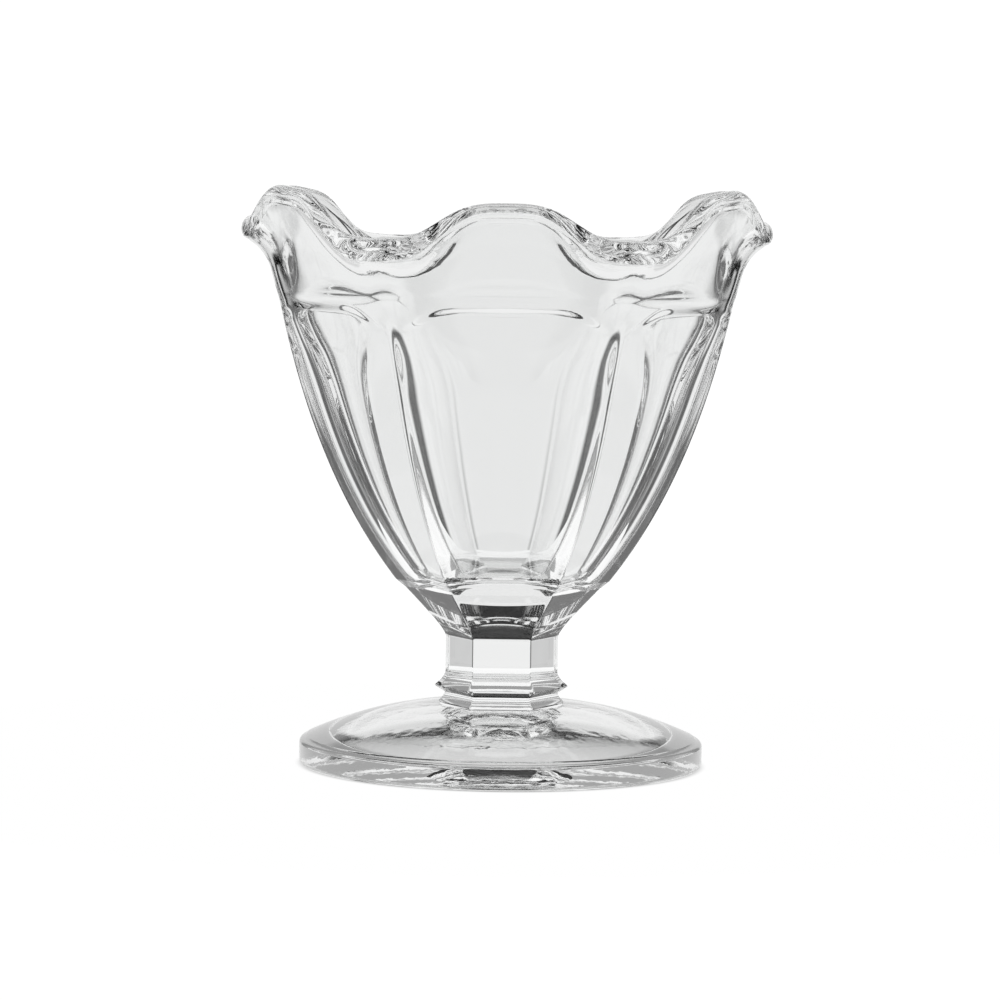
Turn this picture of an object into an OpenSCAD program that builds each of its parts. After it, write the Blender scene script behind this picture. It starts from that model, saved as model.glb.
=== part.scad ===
// Footed sherbet glass: a bowl of six panels with a ruffled rim of six petals, on a six-sided
// stem, a flared collar and a round domed foot. Millimetres, +Z up, origin at the middle of the
// foot's underside. One petal faces -Y, and the ribs between the panels lie 30 degrees beside it.

/* [Bowl] */
// Corner radius of the bowl's bevel, where it joins the stem
bevel_r = 18.2; // [17:0.1:19]
// Height of the joint between bowl and stem
bevel_z = 33.2; // [32.5:0.1:33.8]
// Corner radius at the foot of the panels
panel_foot_r = 20; // [19.5:0.1:21]
// Height of the foot of the panels
panel_foot_z = 34.6; // [34.2:0.1:35]
// Corner radius at the top of the panels
panel_top_r = 42.6; // [41:0.2:44]
// Height of the top of the panels
panel_top_z = 88; // [85:0.5:91]
// How six-sided the panels are, from 0 for round to 1 for flat sides
panel_flatness = 0.72; // [0.5:0.01:0.9]
// Height of a panel's arched edge at its middle
arch_z = 86; // [83:0.5:86]
// How far a panel's arched edge drops beside the ribs
arch_drop = 4; // [2:0.5:6]
// Height over which the sharp ribs between the panels fade out at their top
rib_fade = 10; // [6:1:14]
// Thickness of the wall at the middle of a panel
wall = 4; // [3.5:0.1:4.5]
// Height of the floor inside the bowl
floor_z = 36.4; // [36:0.1:37]
// Radius of the flat of the floor
floor_r = 12; // [10:0.5:13]

/* [Rim] */
// How six-sided the flared wall above the panels is
flare_flatness = 0.52; // [0.4:0.01:0.6]
// Thickness of the flared wall at the panels and between the petals
rim_t = 4.4; // [3.8:0.1:4.8]
// Thickness of a petal's tip
petal_t = 3.2; // [2.6:0.1:4]
// How round the rim's edge is, from a flat oval to a half circle
edge_round = 0.72; // [0.5:0.02:1]
// Lean of the flared wall from upright, in degrees, before its lip turns out
flare_lean = 20; // [16:1:23]
// Lean of a petal's tip, in degrees
petal_lean = 44; // [35:1:50]
// Lean of the lip between two petals, in degrees
valley_lean = 79; // [65:1:80]
// Length of the straight wall below a petal's lip
petal_wall = 9.4; // [8:0.2:11]
// Length of a petal's lip
petal_lip = 8; // [7:0.5:9]
// Length of the straight wall below the lip between two petals
valley_wall = 4.2; // [3.6:0.2:6]
// Length of the turn of the lip between two petals
valley_lip = 6; // [5:0.2:8]
// Length of the straight end of the lip between two petals
valley_reach = 1.7; // [0.5:0.1:2.5]
// How much higher the rim stands at the two sides than at front and back
side_lift = 4; // [0:0.2:5]

/* [Stem] */
// Corner radius of the stem's shaft
stem_r = 10.5; // [10:0.1:11.5]
// Height of the shaft's upper end, where the taper to the bowl begins
shaft_top_z = 25.4; // [24.5:0.1:26]

/* [Collar] */
// Height of the joint between shaft and collar
collar_top_z = 17.6; // [17:0.1:18]
// Corner radius of the skirt's lower edge, the widest part of the collar
skirt_r = 12.5; // [11.8:0.1:13]
// Height of the skirt's lower edge
skirt_z = 14.8; // [14.4:0.1:15.2]
// Corner radius of the neck below the skirt
neck_r = 10.6; // [10:0.1:11]
// Corner radius of the collar's base, where it spreads onto the foot
base_r = 11.8; // [11.2:0.1:12.4]

/* [Foot] */
// Radius of the foot
foot_r = 37.8; // [36:0.2:40]
// Height of the joint between collar and foot
foot_top_z = 11.4; // [11:0.1:12]
// Height of the foot's upright edge
foot_edge_z = 4.8; // [4:0.1:5.5]
// Rounding of the foot's edges
foot_round = 0.9; // [0.6:0.1:1.2]
// Inner radius of the ring that the foot stands on
ring_r = 30; // [28:0.5:32]
// Depth of the hollow under the foot
hollow_depth = 5.5; // [4:0.5:6.5]

/* [Hidden] */
glass = [0.86, 0.90, 0.90, 0.5];
sides = 72;
angles = [for (i = [0:sides - 1]) i * 360 / sides];
rib_sharpness = 110;
round_sharpness = 24;
panel_rings = 10;
arch_rings = 8;
arch_from = 0.9;
arch_to = 0.985;
arch_half = 1;
rib_top_z = panel_top_z - 1;
wall_steps = 3;
lip_steps = 8;
turn_part = 0.75;
edge_steps = 5;
inner_rings = 12;
inner_flatness = 0.15;
taper_rings = 5;
base_steps = 4;
skirt_steps = 5;
skirt_edge = 0.3;
foot_steps = 12;

// The panels' rib line, from the foot of the panels to their top, as a cubic curve in (r, z).
rib_line = [
    [panel_foot_r, panel_foot_z],
    [panel_foot_r + 13, panel_foot_z + 16.6],
    [panel_top_r - 3.6, panel_top_z - 17],
    [panel_top_r, panel_top_z]
];
flare_r = panel_top_r - rim_t / 2;
panel_flat = flat_radius(panel_flatness, 1);
// The inside of the bowl at the middle of a panel, from just above the floor to the flare.
inner_line = [
    [floor_r + 3.5, floor_z + 2.1],
    [rib_line[1][0] * panel_flat - wall - 0.5, rib_line[1][1] - 1],
    [rib_line[2][0] * panel_flat - wall, rib_line[2][1] - 1],
    [
        flare_r * flat_radius(flare_flatness) - rim_t / 2 * cos(flare_lean),
        panel_top_z + rim_t / 2 * sin(flare_lean)
    ]
];
// The rounding between that wall and the floor.
floor_line = [
    [floor_r + 3.5, floor_z + 2.1],
    [floor_r + 2.4, floor_z + 0.7],
    [floor_r + 1.4, floor_z],
    [floor_r, floor_z]
];

// A cubic curve through its first and last points.
function cubic(p, t) =
    pow(1 - t, 3) * p[0] + 3 * pow(1 - t, 2) * t * p[1] + 3 * (1 - t) * t * t * p[2] + pow(t, 3) * p[3];

// From 0 to 1 with soft ends.
function soft(x) = let (c = max(0, min(1, x))) c * c * (3 - 2 * c);
function mix(p, q, t) = p + (q - p) * t;

// Radius at angle a of a six-sided outline with rounded corners of radius 1 and a flat facing a = 0.
function six_sided(a, n) =
    let (terms = [for (k = [0:5]) pow(max(0, cos(a - 60 * k)), n)])
    cos(30) * pow(2 / (terms * [1, 1, 1, 1, 1, 1]), 1 / n);
// The same between a circle and six flat sides; ridge goes from 0 for soft corners to 1 for sharp ones.
function sided(r, flatness, a, ridge = 0) =
    let (outline = mix(six_sided(a, round_sharpness), six_sided(a, rib_sharpness), ridge))
    r * mix(1, outline, flatness);
function flat_radius(flatness, ridge = 0) = sided(1, flatness, 0, ridge);

// 1 at the middle of a petal, 0 between two petals: as a plain wave, and with broader ends.
function ripple(a) = 0.5 + 0.5 * cos(6 * a);
function petal(a) = soft(ripple(a));

// How six-sided the outside is: flat at the bottom, panelled up to the arches, rounder above them.
// The ribs are sharp up to where they fade out, just below the arches.
function flatness_at(a, z) =
    let (below_arch = arch_z - arch_drop * pow(1 - ripple(a), 4) - z)
    let (panelled = mix(flare_flatness, panel_flatness, soft(0.5 + below_arch / (2 * arch_half))))
    mix(panelled, 1, max(0, (rib_top_z - z) / (rib_top_z - panel_foot_z)));
function ridge_at(z) = soft((rib_top_z - z) / rib_fade);

// One ring of the loft: a list of [radius, height], one for each angle.
function six_ring(r, z, flatness, ridge = 0) = [for (a = angles) [sided(r, flatness, a, ridge), z]];
function panel_ring(t) =
    let (p = cubic(rib_line, t))
    [for (a = angles) [sided(p[0], flatness_at(a, p[1]), a, ridge_at(p[1])), p[1]]];
function sharp_ring(p) = six_ring(p[0], p[1], 1, 1);

// The mid line of the flared wall at angle a: a straight stretch, then a lip that turns out on an
// arc, with a straight end between the petals. s runs from 0 at the panels' top to 1 at the lip and
// 2 at the rim. The result is [radius, height, lean].
function flare_at(a, s) =
    let (w = petal(a), tip = mix(valley_lean, petal_lean, w))
    let (straight = mix(valley_wall, petal_wall, w) * min(s, 1))
    let (lip = mix(valley_lip, petal_lip, w), turn = (tip - flare_lean) * PI / 180)
    let (lean = mix(flare_lean, tip, min(1, max(0, s - 1) / turn_part)))
    let (reach = valley_reach * (1 - w) * max(0, s - 1 - turn_part) / (1 - turn_part))
    let (lift = side_lift * pow(abs(sin(a)), 3) * pow(s / 2, 2))
    [
        sided(flare_r, flare_flatness, a) + straight * sin(flare_lean)
            + lip / turn * (cos(flare_lean) - cos(lean)) + reach * sin(tip),
        panel_top_z + straight * cos(flare_lean) + lip / turn * (sin(lean) - sin(flare_lean))
            + reach * cos(tip) + lift,
        lean
    ];

function half_t(a, s) = mix(rim_t, mix(rim_t, petal_t, petal(a)), s / 2) / 2;

// A ring beside the mid line, in half thicknesses: across is measured outwards, along to the rim.
function flare_ring(s, across, along) =
    [for (a = angles) let (p = flare_at(a, s), h = half_t(a, s)) [
        p[0] + h * (across * cos(p[2]) + along * sin(p[2])),
        p[1] + h * (along * cos(p[2]) - across * sin(p[2]))
    ]];
function even_ring(p, flatness) = six_ring(p[0] / flat_radius(flatness), p[1], flatness);
function inner_ring(t) =
    let (p = cubic(inner_line, t))
    even_ring(p, mix(inner_flatness, flare_flatness, soft((p[1] - 70) / 16)));
function floor_ring(t) = even_ring(cubic(floor_line, t), inner_flatness * (1 - t));

wall_s = [for (i = [0:wall_steps]) i / wall_steps];
lip_s = [for (i = [1:lip_steps]) 1 + i / lip_steps];
flare_s = concat(wall_s, lip_s);
last_s = len(flare_s) - 1;

bowl_rings = concat(
    [sharp_ring([bevel_r, bevel_z])],
    [for (i = [0:panel_rings - 1]) panel_ring(arch_from * i / panel_rings)],
    [for (i = [0:arch_rings]) panel_ring(mix(arch_from, arch_to, i / arch_rings))],
    [for (s = flare_s) flare_ring(s, 1, 0)],
    [for (i = [1:edge_steps])
        let (q = 180 * i / (edge_steps + 1))
        flare_ring(2, cos(q), edge_round * sin(q))],
    [for (i = [0:last_s]) flare_ring(flare_s[last_s - i], -1, 0)],
    [for (i = [1:inner_rings]) inner_ring(1 - i / inner_rings)],
    [for (i = [1:3]) floor_ring(i / 3)]
);

// The taper under the bowl: each side is slightly hollow, so the radius follows a soft curve.
taper = [
    [stem_r, shaft_top_z - 1.4],
    [stem_r + 0.2, shaft_top_z],
    [mix(stem_r, bevel_r, 0.46), mix(shaft_top_z, bevel_z, 0.44)],
    [bevel_r, bevel_z]
];
stem_rings = concat(
    [sharp_ring([stem_r, collar_top_z])],
    [for (i = [0:taper_rings]) sharp_ring(cubic(taper, i / taper_rings))]
);

// The collar from the foot up: a base that spreads onto the foot, a neck, and a skirt under the stem.
joint_r = base_r - skirt_edge;
neck_top_z = mix(foot_top_z, skirt_z, 0.62);
base_line = [
    [base_r, foot_top_z + skirt_edge],
    [mix(base_r, neck_r, 0.3), foot_top_z + 3 * skirt_edge],
    [neck_r, mix(foot_top_z, neck_top_z, 0.6)],
    [neck_r, neck_top_z]
];
skirt_line = [
    [skirt_r, skirt_z],
    [mix(skirt_r, stem_r, 0.5), mix(skirt_z, collar_top_z, 0.3)],
    [stem_r, mix(skirt_z, collar_top_z, 0.6)],
    [stem_r, collar_top_z]
];
collar_rings = concat(
    [sharp_ring([joint_r, foot_top_z])],
    [for (i = [0:base_steps]) sharp_ring(cubic(base_line, i / base_steps))],
    [sharp_ring([skirt_r - skirt_edge, skirt_z - skirt_edge])],
    [for (i = [0:skirt_steps]) sharp_ring(cubic(skirt_line, i / skirt_steps))]
);

// The top of the foot, from the collar to the upright edge, and the hollow below it.
dome_line = [
    [joint_r, foot_top_z],
    [foot_r * 0.53, foot_top_z - 0.2],
    [foot_r * 0.77, foot_top_z - 2.8],
    [foot_r - 1.4, foot_edge_z + 0.5]
];
hollow_line = [
    [ring_r, 0],
    [ring_r * 0.86, hollow_depth * 0.5],
    [ring_r * 0.5, hollow_depth],
    [0, hollow_depth]
];
function round_corner(r, z, from) =
    [for (i = [0:4]) let (q = from + i * 22.5) [r + foot_round * sin(q), z + foot_round * cos(q)]];
foot_outline = concat(
    [[0, foot_top_z]],
    [for (i = [0:foot_steps]) cubic(dome_line, i / foot_steps)],
    round_corner(foot_r - foot_round, foot_edge_z - foot_round, 0),
    round_corner(foot_r - foot_round, foot_round, 90),
    [for (i = [0:foot_steps]) cubic(hollow_line, i / foot_steps)]
);

// A closed solid through a stack of rings, with a flat cap at each end.
module loft(rings) {
    n = len(rings);
    points = [for (ring = rings) for (j = [0:sides - 1])
        [ring[j][0] * sin(angles[j]), -ring[j][0] * cos(angles[j]), ring[j][1]]];
    function at(i, j) = i * sides + j % sides;
    walls = [for (i = [0:n - 2]) for (j = [0:sides - 1]) each [
        [at(i, j), at(i + 1, j), at(i + 1, j + 1)],
        [at(i, j), at(i + 1, j + 1), at(i, j + 1)]
    ]];
    middles = [[0, 0, rings[0][0][1]], [0, 0, rings[n - 1][0][1]]];
    caps = [for (j = [0:sides - 1]) each [
        [at(0, j), at(0, j + 1), n * sides],
        [at(n - 1, j + 1), at(n - 1, j), n * sides + 1]
    ]];
    polyhedron(concat(points, middles), concat(walls, caps));
}

module bowl() {
    color(glass) loft(bowl_rings);
}

module stem() {
    color(glass) loft(stem_rings);
}

module collar() {
    color(glass) loft(collar_rings);
}

module foot() {
    color(glass) rotate_extrude($fn = 96) polygon(foot_outline);
}

bowl();
stem();
collar();
foot();
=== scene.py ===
import math

import bpy
from mathutils import Matrix


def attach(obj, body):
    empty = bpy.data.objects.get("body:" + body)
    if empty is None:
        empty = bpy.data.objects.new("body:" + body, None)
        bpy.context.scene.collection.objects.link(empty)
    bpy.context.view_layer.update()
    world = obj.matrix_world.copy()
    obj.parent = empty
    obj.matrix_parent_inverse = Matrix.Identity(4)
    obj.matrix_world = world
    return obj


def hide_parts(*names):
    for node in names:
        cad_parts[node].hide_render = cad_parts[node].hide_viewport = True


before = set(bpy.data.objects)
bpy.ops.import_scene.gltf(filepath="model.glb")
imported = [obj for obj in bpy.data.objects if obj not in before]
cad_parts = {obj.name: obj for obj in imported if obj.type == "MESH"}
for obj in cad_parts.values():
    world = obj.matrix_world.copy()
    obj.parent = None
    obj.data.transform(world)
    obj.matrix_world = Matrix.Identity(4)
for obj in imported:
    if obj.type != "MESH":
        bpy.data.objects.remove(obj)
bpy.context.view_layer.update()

MM = 0.001
SIDES = 720
ANGLES = [2 * math.pi * i / SIDES for i in range(SIDES)]

# Sizes in millimetres, the same as in the CAD part
BEVEL_R, BEVEL_Z = 18.2, 33.2
PANEL_FOOT_R, PANEL_FOOT_Z = 20.0, 34.6
PANEL_TOP_R, PANEL_TOP_Z = 42.6, 88.0
PANEL_FLATNESS, FLARE_FLATNESS, INNER_FLATNESS = 0.72, 0.52, 0.15
ARCH_Z, ARCH_DROP, ARCH_HALF = 86.0, 4.0, 1.0
RIB_TOP_Z, RIB_FADE = PANEL_TOP_Z - 1, 10.0
RIB_SHARPNESS, ROUND_SHARPNESS = 110.0, 24.0
WALL, FLOOR_Z, FLOOR_R = 4.0, 36.4, 12.0
RIM_T, PETAL_T, EDGE_ROUND = 4.4, 3.2, 0.72
FLARE_LEAN, PETAL_LEAN, VALLEY_LEAN = 20.0, 44.0, 79.0
PETAL_WALL, PETAL_LIP = 9.4, 8.0
VALLEY_WALL, VALLEY_LIP, VALLEY_REACH, TURN_PART = 4.2, 6.0, 1.7, 0.75
SIDE_LIFT = 4.0
INNER_SIDED_Z, INNER_SIDED_SPAN = 70.0, 16.0
STEM_R, SHAFT_TOP_Z = 10.5, 25.4
COLLAR_TOP_Z, SKIRT_R, SKIRT_Z, SKIRT_EDGE = 17.6, 12.5, 14.8, 0.3
NECK_R, BASE_R = 10.6, 11.8
FOOT_R, FOOT_TOP_Z, FOOT_EDGE_Z, FOOT_ROUND = 37.8, 11.4, 4.8, 0.9
RING_R, HOLLOW_DEPTH = 30.0, 5.5
JOINT_R = BASE_R - SKIRT_EDGE

# Steps along each curve of the visible meshes
PANEL_STEPS, PANEL_END, WALL_STEPS, LIP_STEPS, EDGE_STEPS = 160, 0.975, 14, 28, 16
INNER_STEPS, TURN_STEPS = 60, 8
SHAFT_STEPS, TAPER_STEPS, BASE_STEPS, SKIRT_STEPS = 6, 30, 8, 10
DOME_STEPS, HOLLOW_STEPS, CORNER_STEPS = 30, 40, 10


# Curves and outlines
def cubic(p, t):
    s = 1 - t
    weights = (s * s * s, 3 * s * s * t, 3 * s * t * t, t * t * t)
    return tuple(sum(w * q[i] for w, q in zip(weights, p)) for i in (0, 1))


def soft(x):
    x = min(1.0, max(0.0, x))
    return x * x * (3 - 2 * x)


def mix(p, q, t):
    return p + (q - p) * t


def six_sided(a, sharpness):
    """Radius of a six-sided outline with rounded corners of radius 1 and a flat facing a = 0."""
    total = sum(max(0.0, math.cos(a - math.radians(60 * k))) ** sharpness for k in range(6))
    return math.cos(math.radians(30)) * (2 / total) ** (1 / sharpness)


RIDGED = {a: six_sided(a, RIB_SHARPNESS) for a in ANGLES}
ROUNDED = {a: six_sided(a, ROUND_SHARPNESS) for a in ANGLES}


def sided(r, flatness, a, ridge=0):
    """Between a circle and six flat sides; ridge goes from 0 for soft corners to 1 for sharp ones."""
    return r * mix(1, mix(ROUNDED[a], RIDGED[a], ridge), flatness)


def flat_radius(flatness, ridge=0):
    return sided(1, flatness, ANGLES[0], ridge)


def ripple(a):
    return 0.5 + 0.5 * math.cos(6 * a)


def petal(a):
    return soft(ripple(a))


def six_ring(r, z, flatness, ridge=0):
    return [(sided(r, flatness, a, ridge), z) for a in ANGLES]


def sharp_ring(p):
    return six_ring(*p, 1, 1)


def even_ring(p, flatness):
    return six_ring(p[0] / flat_radius(flatness), p[1], flatness)


# Bowl
def flatness_at(a, z):
    below_arch = ARCH_Z - ARCH_DROP * (1 - ripple(a)) ** 4 - z
    panelled = mix(FLARE_FLATNESS, PANEL_FLATNESS, soft(0.5 + below_arch / (2 * ARCH_HALF)))
    return mix(panelled, 1, max(0.0, (RIB_TOP_Z - z) / (RIB_TOP_Z - PANEL_FOOT_Z)))


def panel_ring(p):
    r, z = p
    ridge = soft((RIB_TOP_Z - z) / RIB_FADE)
    return [(sided(r, flatness_at(a, z), a, ridge), z) for a in ANGLES]


def flare_at(a, s):
    """Mid line of the flared wall: radius, height and lean.

    s runs from 0 at the panels' top to 1 at the lip and 2 at the rim.
    """
    w = petal(a)
    base = math.radians(FLARE_LEAN)
    tip = math.radians(mix(VALLEY_LEAN, PETAL_LEAN, w))
    straight = mix(VALLEY_WALL, PETAL_WALL, w) * min(s, 1)
    bend = mix(VALLEY_LIP, PETAL_LIP, w) / (tip - base)
    lean = mix(base, tip, min(1.0, max(0.0, s - 1) / TURN_PART))
    reach = VALLEY_REACH * (1 - w) * max(0.0, s - 1 - TURN_PART) / (1 - TURN_PART)
    lift = SIDE_LIFT * abs(math.sin(a)) ** 3 * (s / 2) ** 2
    r = sided(PANEL_TOP_R - RIM_T / 2, FLARE_FLATNESS, a)
    r += straight * math.sin(base) + bend * (math.cos(base) - math.cos(lean)) + reach * math.sin(tip)
    z = PANEL_TOP_Z + straight * math.cos(base) + bend * (math.sin(lean) - math.sin(base))
    z += reach * math.cos(tip) + lift
    return r, z, lean


def flare_ring(s, across, along):
    ring = []
    for a in ANGLES:
        r, z, lean = flare_at(a, s)
        half = mix(RIM_T, mix(RIM_T, PETAL_T, petal(a)), s / 2) / 2
        ring.append((r + half * (across * math.cos(lean) + along * math.sin(lean)),
                     z + half * (along * math.cos(lean) - across * math.sin(lean))))
    return ring


def inside_rings(rib):
    """From the flare down the inside of the wall, round the turn and over the floor."""
    flat = flat_radius(PANEL_FLATNESS, 1)
    base = math.radians(FLARE_LEAN)
    top_r = (PANEL_TOP_R - RIM_T / 2) * flat_radius(FLARE_FLATNESS) - RIM_T / 2 * math.cos(base)
    wall = [(FLOOR_R + 3.5, FLOOR_Z + 2.1),
            (rib[1][0] * flat - WALL - 0.5, rib[1][1] - 1),
            (rib[2][0] * flat - WALL, rib[2][1] - 1),
            (top_r, PANEL_TOP_Z + RIM_T / 2 * math.sin(base))]
    rings = []
    for i in range(1, INNER_STEPS + 1):
        p = cubic(wall, 1 - i / INNER_STEPS)
        sides = soft((p[1] - INNER_SIDED_Z) / INNER_SIDED_SPAN)
        rings.append(even_ring(p, mix(INNER_FLATNESS, FLARE_FLATNESS, sides)))
    turn = [wall[0], (FLOOR_R + 2.4, FLOOR_Z + 0.7), (FLOOR_R + 1.4, FLOOR_Z), (FLOOR_R, FLOOR_Z)]
    for i in range(1, TURN_STEPS + 1):
        rings.append(even_ring(cubic(turn, i / TURN_STEPS), INNER_FLATNESS * (1 - i / TURN_STEPS)))
    return rings + [six_ring(FLOOR_R * part, FLOOR_Z, 0) for part in (0.7, 0.35, 0.12)]


def bowl_rings():
    rib = [(PANEL_FOOT_R, PANEL_FOOT_Z), (PANEL_FOOT_R + 13, PANEL_FOOT_Z + 16.6),
           (PANEL_TOP_R - 3.6, PANEL_TOP_Z - 17), (PANEL_TOP_R, PANEL_TOP_Z)]
    steps = [i / WALL_STEPS for i in range(WALL_STEPS + 1)]
    steps += [1 + i / LIP_STEPS for i in range(1, LIP_STEPS + 1)]
    edge = [math.pi * i / EDGE_STEPS for i in range(1, EDGE_STEPS)]
    rings = [sharp_ring((BEVEL_R, BEVEL_Z))]
    rings += [panel_ring(cubic(rib, PANEL_END * i / PANEL_STEPS)) for i in range(PANEL_STEPS + 1)]
    rings += [flare_ring(s, 1, 0) for s in steps]
    rings += [flare_ring(2, math.cos(q), EDGE_ROUND * math.sin(q)) for q in edge]
    rings += [flare_ring(s, -1, 0) for s in reversed(steps)]
    return rings + inside_rings(rib)


# Stem, collar and foot
def stem_rings():
    taper = [(STEM_R, SHAFT_TOP_Z - 1.4), (STEM_R + 0.2, SHAFT_TOP_Z),
             (mix(STEM_R, BEVEL_R, 0.46), mix(SHAFT_TOP_Z, BEVEL_Z, 0.44)), (BEVEL_R, BEVEL_Z)]
    shaft = [(STEM_R, mix(COLLAR_TOP_Z, taper[0][1], i / SHAFT_STEPS)) for i in range(SHAFT_STEPS)]
    return [sharp_ring(p) for p in shaft + [cubic(taper, i / TAPER_STEPS) for i in range(TAPER_STEPS + 1)]]


def collar_rings():
    """From the foot up: a base that spreads onto the foot, a neck, and a skirt under the stem."""
    neck_top_z = mix(FOOT_TOP_Z, SKIRT_Z, 0.62)
    base = [(BASE_R, FOOT_TOP_Z + SKIRT_EDGE), (mix(BASE_R, NECK_R, 0.3), FOOT_TOP_Z + 3 * SKIRT_EDGE),
            (NECK_R, mix(FOOT_TOP_Z, neck_top_z, 0.6)), (NECK_R, neck_top_z)]
    skirt = [(SKIRT_R, SKIRT_Z), (mix(SKIRT_R, STEM_R, 0.5), mix(SKIRT_Z, COLLAR_TOP_Z, 0.3)),
             (STEM_R, mix(SKIRT_Z, COLLAR_TOP_Z, 0.6)), (STEM_R, COLLAR_TOP_Z)]
    profile = [(JOINT_R, FOOT_TOP_Z)] + [cubic(base, i / BASE_STEPS) for i in range(BASE_STEPS + 1)]
    profile += [(SKIRT_R - SKIRT_EDGE, SKIRT_Z - SKIRT_EDGE)]
    profile += [cubic(skirt, i / SKIRT_STEPS) for i in range(SKIRT_STEPS + 1)]
    return [sharp_ring(p) for p in profile]


def foot_rings():
    dome = [(JOINT_R, FOOT_TOP_Z), (FOOT_R * 0.53, FOOT_TOP_Z - 0.2),
            (FOOT_R * 0.77, FOOT_TOP_Z - 2.8), (FOOT_R - 1.4, FOOT_EDGE_Z + 0.5)]
    hollow = [(RING_R, 0), (RING_R * 0.86, HOLLOW_DEPTH * 0.5),
              (RING_R * 0.5, HOLLOW_DEPTH), (0, HOLLOW_DEPTH)]
    outline = [(JOINT_R * part, FOOT_TOP_Z) for part in (0.15, 0.5, 0.85)]
    outline += [cubic(dome, i / DOME_STEPS) for i in range(DOME_STEPS + 1)]
    for z, start in ((FOOT_EDGE_Z - FOOT_ROUND, 0), (FOOT_ROUND, math.pi / 2)):
        for i in range(CORNER_STEPS + 1):
            q = start + math.pi / 2 * i / CORNER_STEPS
            outline.append((FOOT_R - FOOT_ROUND + FOOT_ROUND * math.sin(q), z + FOOT_ROUND * math.cos(q)))
    outline += [cubic(hollow, i / HOLLOW_STEPS) for i in range(HOLLOW_STEPS)]
    return [six_ring(r, z, 0) for r, z in reversed(outline)]


# Node helpers
def calc(tree, operation, *values):
    node = tree.nodes.new("ShaderNodeMath")
    node.operation = operation
    for socket, value in zip(node.inputs, values):
        if isinstance(value, float):
            socket.default_value = value
        else:
            tree.links.new(value, socket)
    return node.outputs[0]


def ramp(tree, x, start, end, low=0.0, high=1.0):
    """From low to high with soft ends, as x goes from start to end."""
    node = tree.nodes.new("ShaderNodeMapRange")
    node.interpolation_type = "SMOOTHSTEP"
    tree.links.new(x, node.inputs["Value"])
    for name, value in (("From Min", start), ("From Max", end), ("To Min", low), ("To Max", high)):
        node.inputs[name].default_value = value
    return node.outputs["Result"]


# Glass
FLOW_SCALE, FLOW_DEPTH = 90.0, 0.025 * MM
MOULD_SCALE, MOULD_DEPTH = 420.0, 0.03 * MM
LIP_MARKS_FROM, LIP_MARKS_FULL = 88 * MM, 94 * MM
FOOT_MARKS_FROM, FOOT_MARKS_FULL = 7 * MM, 5 * MM
VALLEY_MARKS_FROM, VALLEY_MARKS_FULL = 0.3, -0.6


def noise_bump(tree, place, scale, depth, strength, normal=None):
    noise = tree.nodes.new("ShaderNodeTexNoise")
    noise.inputs["Scale"].default_value = scale
    noise.inputs["Detail"].default_value = 1.5
    bump = tree.nodes.new("ShaderNodeBump")
    bump.inputs["Distance"].default_value = depth
    tree.links.new(place, noise.inputs["Vector"])
    tree.links.new(noise.outputs["Fac"], bump.inputs["Height"])
    if strength is not None:
        tree.links.new(strength, bump.inputs["Strength"])
    if normal is not None:
        tree.links.new(normal, bump.inputs["Normal"])
    return bump.outputs["Normal"]


def clear_glass():
    """Fire-polished glass: faint waves all over, and finer marks of the mould between the petals and at
    the foot's edge."""
    m = bpy.data.materials.new("clear_glass")
    m.use_nodes = True
    tree = m.node_tree
    shader = tree.nodes["Principled BSDF"]
    shader.inputs["Base Color"].default_value = (0.985, 0.99, 0.988, 1)
    shader.inputs["Roughness"].default_value = 0.0
    shader.inputs["IOR"].default_value = 1.5
    shader.inputs["Transmission Weight"].default_value = 1.0
    place = tree.nodes.new("ShaderNodeTexCoord").outputs["Object"]
    parts = tree.nodes.new("ShaderNodeSeparateXYZ")
    tree.links.new(place, parts.inputs[0])
    x, y, z = parts.outputs
    wave = calc(tree, "COSINE", calc(tree, "MULTIPLY", calc(tree, "ARCTAN2", x, y), 6.0))
    high = ramp(tree, z, LIP_MARKS_FROM, LIP_MARKS_FULL)
    between_petals = ramp(tree, wave, VALLEY_MARKS_FROM, VALLEY_MARKS_FULL)
    at_lip = calc(tree, "MULTIPLY", high, between_petals)
    at_foot = ramp(tree, z, FOOT_MARKS_FROM, FOOT_MARKS_FULL)
    flow = noise_bump(tree, place, FLOW_SCALE, FLOW_DEPTH, None)
    marks = noise_bump(tree, place, MOULD_SCALE, MOULD_DEPTH, calc(tree, "MAXIMUM", at_lip, at_foot), flow)
    tree.links.new(marks, shader.inputs["Normal"])
    return m


def fused_joint():
    """Where two pieces are fused there is no surface to see: the meeting faces let all light through."""
    m = bpy.data.materials.new("fused_joint")
    m.use_nodes = True
    m.node_tree.nodes["Principled BSDF"].inputs["Alpha"].default_value = 0.0
    return m


GLASS, FUSED = clear_glass(), fused_joint()


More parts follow.
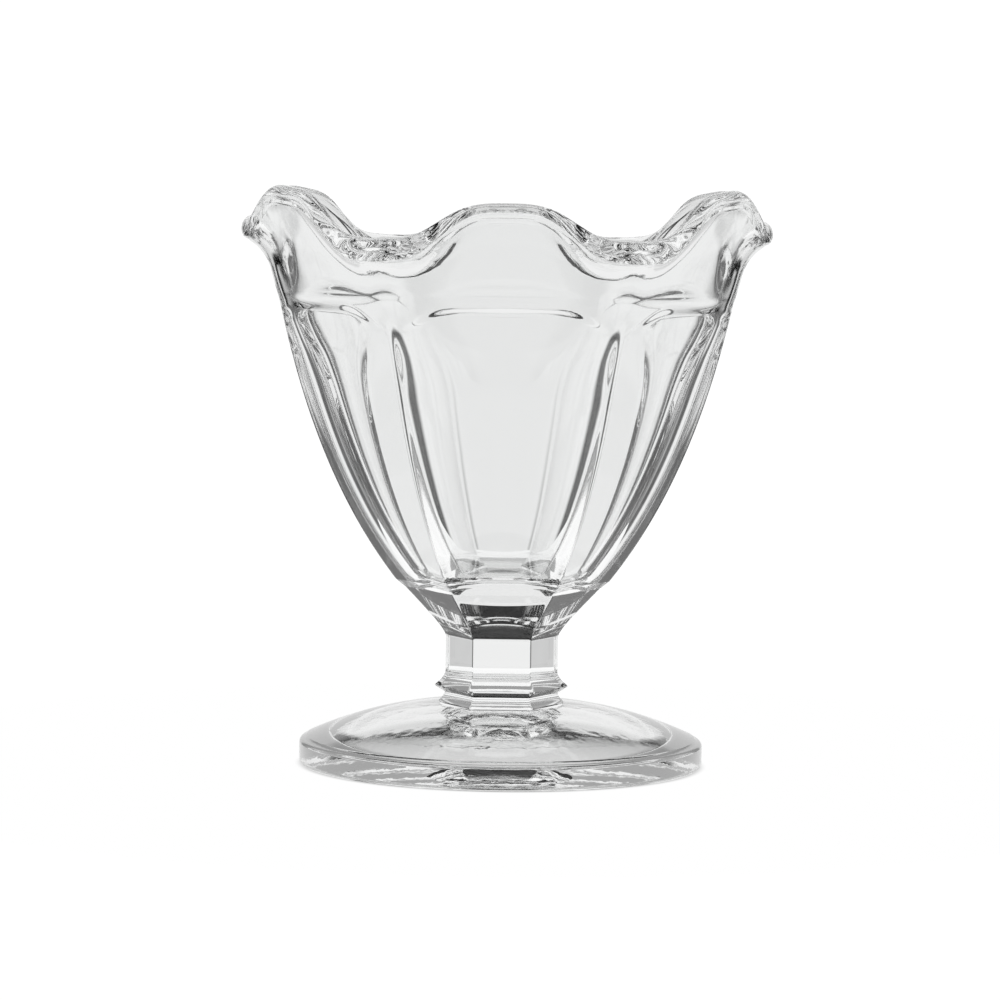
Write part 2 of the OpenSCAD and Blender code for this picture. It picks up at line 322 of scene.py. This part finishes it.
# Pieces
def loft(name, rings, fused, sharp):
    """A closed mesh through rings of (radius, height).

    fused holds "first", "last" or ring numbers, whose faces take the joint material; sharp holds the
    numbers of the rings that are crisp edges.
    """
    verts, faces, joint = [], [], []
    for ring in rings:
        for a, (r, z) in zip(ANGLES, ring):
            verts.append((r * math.sin(a) * MM, -r * math.cos(a) * MM, z * MM))
    last = len(rings) - 1
    for i in range(last):
        for j in range(SIDES):
            k = (j + 1) % SIDES
            faces.append((i * SIDES + j, i * SIDES + k, (i + 1) * SIDES + k, (i + 1) * SIDES + j))
            joint.append(i in fused)
    for i, end in ((0, "first"), (last, "last")):
        verts.append((0, 0, rings[i][0][1] * MM))
        for j in range(SIDES):
            k = (j + 1) % SIDES
            pair = (i * SIDES + k, i * SIDES + j) if i == 0 else (i * SIDES + j, i * SIDES + k)
            faces.append((*pair, len(verts) - 1))
            joint.append(end in fused)
    mesh = bpy.data.meshes.new(name)
    mesh.from_pydata(verts, [], faces)
    mesh.materials.append(GLASS)
    mesh.materials.append(FUSED)
    for face, is_joint in zip(mesh.polygons, joint):
        face.use_smooth = True
        face.material_index = int(is_joint)
    for edge in mesh.edges:
        i, j = (v // SIDES for v in edge.vertices)
        edge.use_edge_sharp = i == j and i in sharp
    piece = bpy.data.objects.new(name, mesh)
    bpy.context.scene.collection.objects.link(piece)
    return piece


def stand_for(node, rings, fused, sharp):
    piece = loft(node + "_glass", rings, fused, sharp)
    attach(piece, "root")
    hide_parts(node)


stand_for("bowl", bowl_rings(), {"first"}, {0, 1})
stem = stem_rings()
stand_for("stem", stem, {"first", "last"}, {0, len(stem) - 1})
collar = collar_rings()
neck_end = BASE_STEPS + 1
collar_edges = {0, 1, neck_end, neck_end + 1, neck_end + 2, len(collar) - 1}
stand_for("collar", collar, {"first", "last"}, collar_edges)
foot = foot_rings()
joint_ring = len(foot) - 4
dome_end = joint_ring - DOME_STEPS
stand_for("foot", foot, {"last", joint_ring, joint_ring + 1, joint_ring + 2}, {joint_ring, dome_end})

# Floor, white, with a painted shade under the foot that is deepest below the ring it stands on
TABLE_R, TABLE_LEVEL = 0.13, 1.0
RING_IN, RING_OUT, RING_SOFT = (RING_R - 1) * MM, (FOOT_R - 1) * MM, 2 * MM
# Glow levels of the painted shade: under the middle of the foot, and below the ring it stands on
UNDER_SHADE_LEVEL, RING_SHADE_LEVEL = 0.75, 0.35


def floor_material():
    m = bpy.data.materials.new("floor")
    m.use_nodes = True
    tree = m.node_tree
    tree.nodes.clear()
    output = tree.nodes.new("ShaderNodeOutputMaterial")
    glow = tree.nodes.new("ShaderNodeEmission")
    place = tree.nodes.new("ShaderNodeTexCoord")
    from_axis = tree.nodes.new("ShaderNodeVectorMath")
    from_axis.operation = "LENGTH"
    tree.links.new(place.outputs["Object"], from_axis.inputs[0])
    r = from_axis.outputs["Value"]
    # Painted shade: the floor's glow is dimmed under the foot, most of all below the ring it stands on
    painted_shade = ramp(tree, r, RING_IN - RING_SOFT, RING_IN + RING_SOFT, UNDER_SHADE_LEVEL, RING_SHADE_LEVEL)
    outer = ramp(tree, r, RING_OUT - RING_SOFT, RING_OUT + RING_SOFT, 0.0, TABLE_LEVEL)
    tree.links.new(calc(tree, "MAXIMUM", painted_shade, outer), glow.inputs["Strength"])
    tree.links.new(glow.outputs[0], output.inputs["Surface"])
    return m


bpy.ops.mesh.primitive_circle_add(vertices=128, radius=TABLE_R, fill_type="NGON")
floor = bpy.context.object
floor.name = "floor"
floor.data.materials.append(floor_material())

# Studio: bright screens at front, back and sides, with dark gaps between them that draw the glass's lines
GAP_MIDDLE, GAP_HALF, GAP_SOFT = math.radians(30), math.radians(8), math.radians(4)
SCREEN_TOP, TOP_SOFT = math.radians(26), math.radians(3)
SCREEN_LEVEL, GAP_LEVEL, BACKDROP_LEVEL = 0.86, 0.005, 1.05


def studio():
    world = bpy.data.worlds.new("studio")
    world.use_nodes = True
    tree = world.node_tree
    tree.nodes.clear()
    output = tree.nodes.new("ShaderNodeOutputWorld")
    background = tree.nodes.new("ShaderNodeBackground")
    background.inputs["Color"].default_value = (1, 1, 1, 1)
    direction = tree.nodes.new("ShaderNodeTexCoord")
    parts = tree.nodes.new("ShaderNodeSeparateXYZ")
    tree.links.new(direction.outputs["Generated"], parts.inputs[0])
    x, y, z = parts.outputs
    turn = calc(tree, "COSINE", calc(tree, "MULTIPLY", calc(tree, "ARCTAN2", x, y), 2.0))
    beside = calc(tree, "DIVIDE", calc(tree, "ARCCOSINE", turn), 2.0)
    from_gap = calc(tree, "ABSOLUTE", calc(tree, "SUBTRACT", beside, GAP_MIDDLE))
    wide = ramp(tree, from_gap, GAP_HALF - GAP_SOFT, GAP_HALF + GAP_SOFT)
    tall = ramp(tree, calc(tree, "ARCSINE", z), SCREEN_TOP + TOP_SOFT, SCREEN_TOP - TOP_SOFT)
    screens = calc(tree, "MULTIPLY_ADD", calc(tree, "MULTIPLY", wide, tall), SCREEN_LEVEL, GAP_LEVEL)
    ray = tree.nodes.new("ShaderNodeLightPath")
    backdrop = tree.nodes.new("ShaderNodeMix")
    tree.links.new(ray.outputs["Is Camera Ray"], backdrop.inputs["Factor"])
    tree.links.new(screens, backdrop.inputs["A"])
    backdrop.inputs["B"].default_value = BACKDROP_LEVEL
    tree.links.new(backdrop.outputs["Result"], background.inputs["Strength"])
    tree.links.new(background.outputs[0], output.inputs["Surface"])
    return world


bpy.context.scene.world = studio()

# Camera, level with the rim; lengths in metres, HORIZON and AXIS as parts of the picture's width
FOCAL, DISTANCE, EYE_Z, HORIZON, AXIS, ROLL = 4.073, 0.760, 0.1056, 0.300, 0.0037, 0.75
SENSOR = 36.0


def add_camera():
    lens = bpy.data.cameras.new("camera")
    lens.sensor_width = SENSOR
    lens.lens = FOCAL * SENSOR
    lens.clip_start = 0.01
    camera = bpy.data.objects.new("camera", lens)
    bpy.context.scene.collection.objects.link(camera)
    camera.matrix_world = (
        Matrix.Translation((0, -DISTANCE, EYE_Z))
        @ Matrix.Rotation(math.atan(AXIS / FOCAL), 4, "Z")
        @ Matrix.Rotation(math.pi / 2 - math.atan(HORIZON / FOCAL), 4, "X")
        @ Matrix.Rotation(math.radians(ROLL), 4, "Z"))
    return camera


scene = bpy.context.scene
scene.camera = add_camera()
scene.view_settings.view_transform = "Standard"
scene.cycles.max_bounces = 32
scene.cycles.transmission_bounces = 32
scene.cycles.glossy_bounces = 16
scene.cycles.transparent_max_bounces = 32
